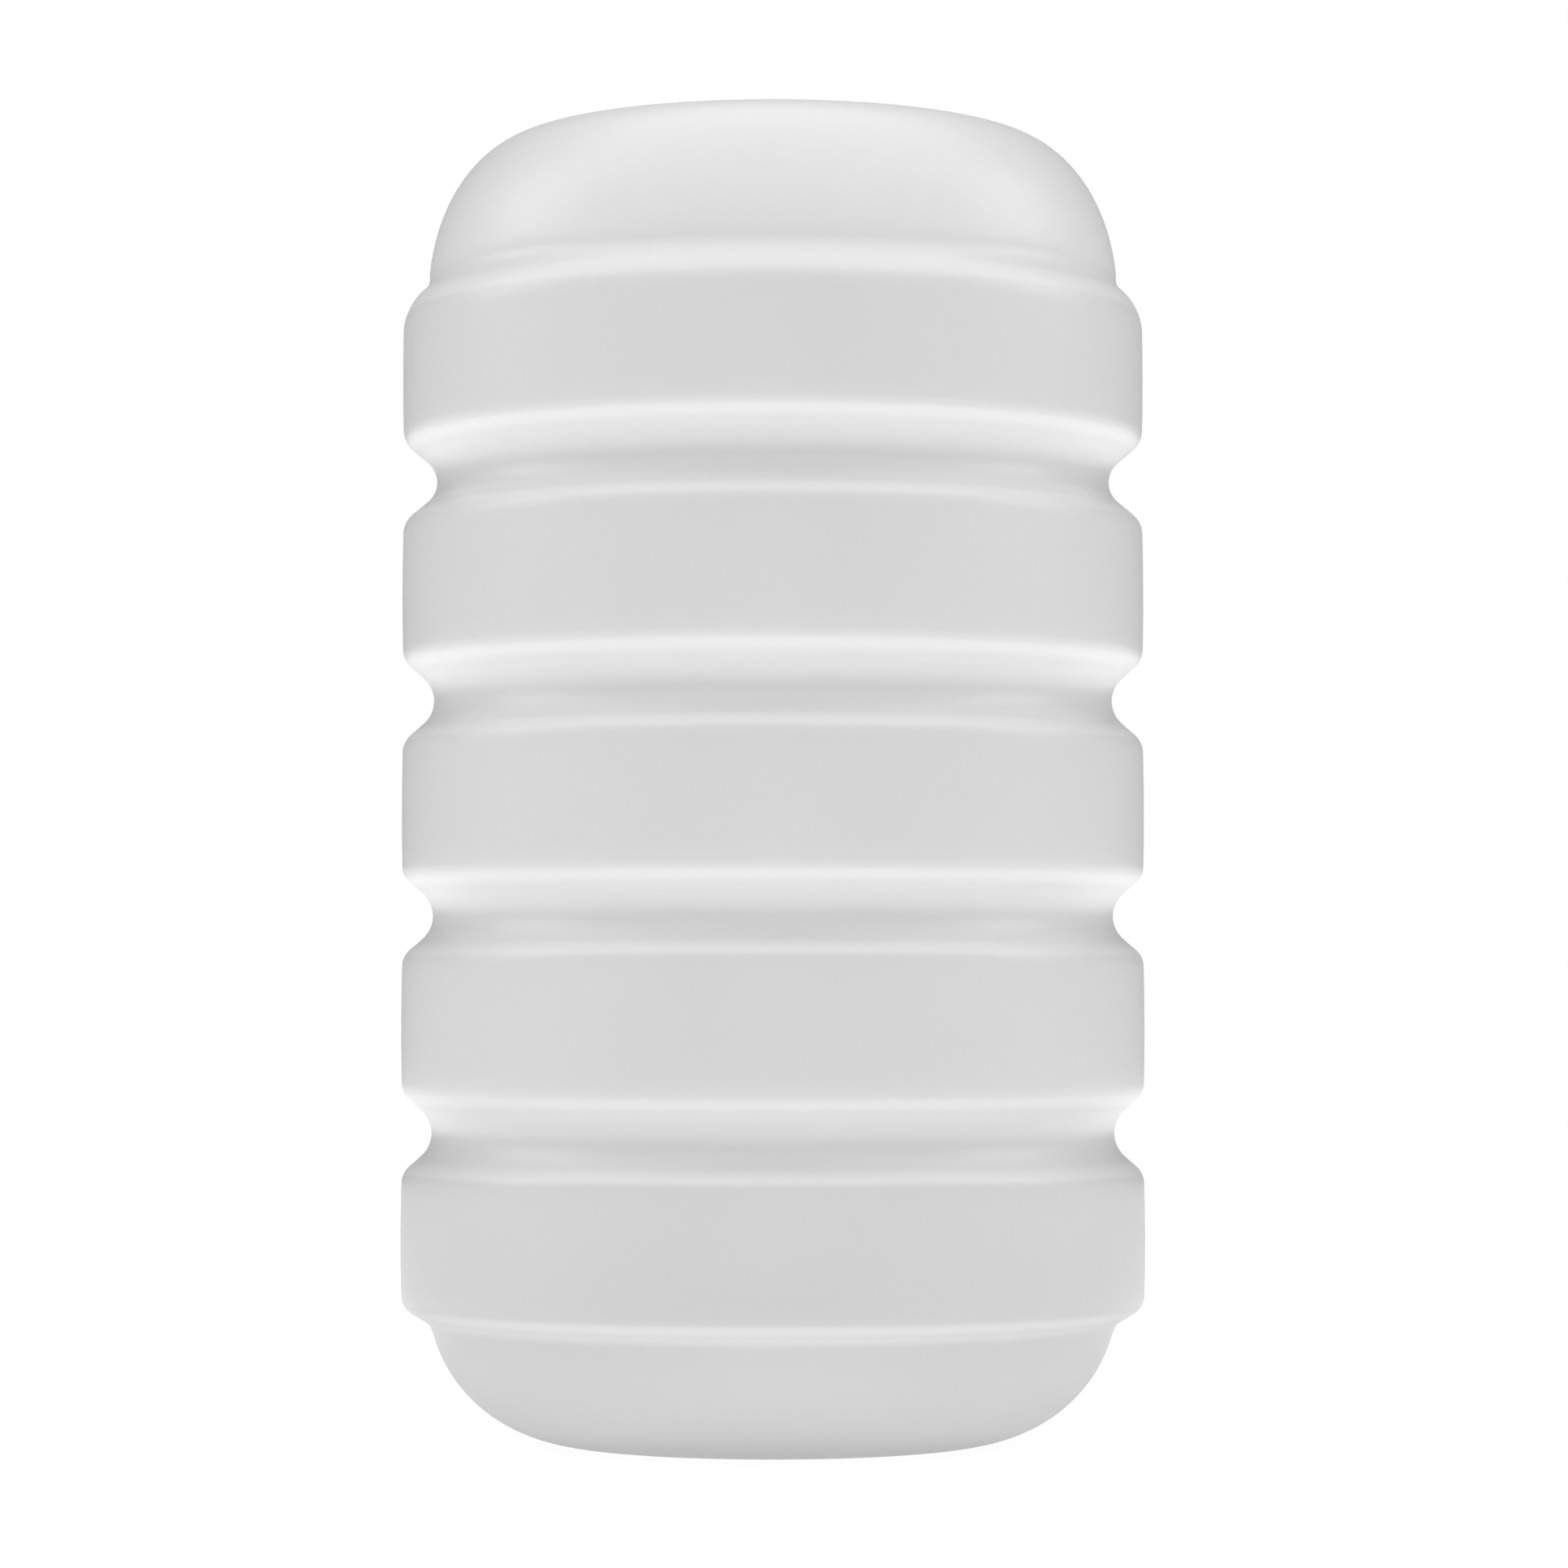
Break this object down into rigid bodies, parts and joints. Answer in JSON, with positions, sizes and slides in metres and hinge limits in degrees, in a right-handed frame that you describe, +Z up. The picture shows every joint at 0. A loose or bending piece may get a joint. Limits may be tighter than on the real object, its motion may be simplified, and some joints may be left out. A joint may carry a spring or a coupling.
{
  "type": "plastic chemical drum",
  "caption": "Closed-head blow-moulded plastic drum with raised bands between rounded grooves, and threaded plugs in a well in its head, for storing and moving liquid chemicals.",
  "frame": {"origin": "centre of the foot ring, on the surface that the drum stands on", "axes": "+Z up the drum's axis, -Y towards the front, and the two necks lie along X with the pour neck at +X"},
  "size_m": [0.374, 0.374, 0.6585],
  "materials": {
    "hdpe_shell": "satin, milky white, slightly translucent",
    "hdpe_neck": "satin",
    "hdpe_plug": "satin",
    "vent_plastic": "satin",
    "epdm": "matt",
    "membrane": "matt"
  },
  "bodies": {
    "drum": {"drum_body": "hdpe_shell", "pour_neck": "hdpe_neck", "reducer_neck": "hdpe_neck"},
    "pour_gasket": {"pour_gasket": "epdm"},
    "pour_plug": {"pour_plug": "hdpe_plug"},
    "reducer_gasket": {"reducer_gasket": "epdm"},
    "reducer_plug": {"reducer_plug": "hdpe_plug"},
    "vent_gasket": {"vent_gasket": "epdm"},
    "vent_plug": {"vent_plug": "vent_plastic", "vent_membrane": "membrane", "vent_cap": "vent_plastic"}
  },
  "joints": [
    {"name": "pour_plug_lift", "type": "slide", "parent": "drum", "child": "pour_gasket", "axis": [0, 0, 1], "range_m": [0, 0.0181]},
    {"name": "pour_plug_turn", "type": "hinge", "parent": "pour_gasket", "child": "pour_plug", "pos_m": [0.042, 0, 0.645], "axis": [0, 0, 1], "range_deg": [0, 1620]},
    {"name": "reducer_plug_lift", "type": "slide", "parent": "drum", "child": "reducer_gasket", "axis": [0, 0, 1], "range_m": [0, 0.0181]},
    {"name": "reducer_plug_turn", "type": "hinge", "parent": "reducer_gasket", "child": "reducer_plug", "pos_m": [-0.042, 0, 0.645], "axis": [0, 0, 1], "range_deg": [0, 1620]},
    {"name": "vent_plug_lift", "type": "slide", "parent": "reducer_plug", "child": "vent_gasket", "axis": [0, 0, 1], "range_m": [0, 0.0088]},
    {"name": "vent_plug_turn", "type": "hinge", "parent": "vent_gasket", "child": "vent_plug", "pos_m": [-0.042, 0, 0.6484], "axis": [0, 0, 1], "range_deg": [0, 1260]}
  ],
  "couplings": [
    {"joint": "pour_plug_lift", "follows": "pour_plug_turn", "m_per_rad": 0.00063662},
    {"joint": "reducer_plug_lift", "follows": "reducer_plug_turn", "m_per_rad": 0.00063662},
    {"joint": "vent_plug_lift", "follows": "vent_plug_turn", "m_per_rad": 0.00039789}
  ]
}
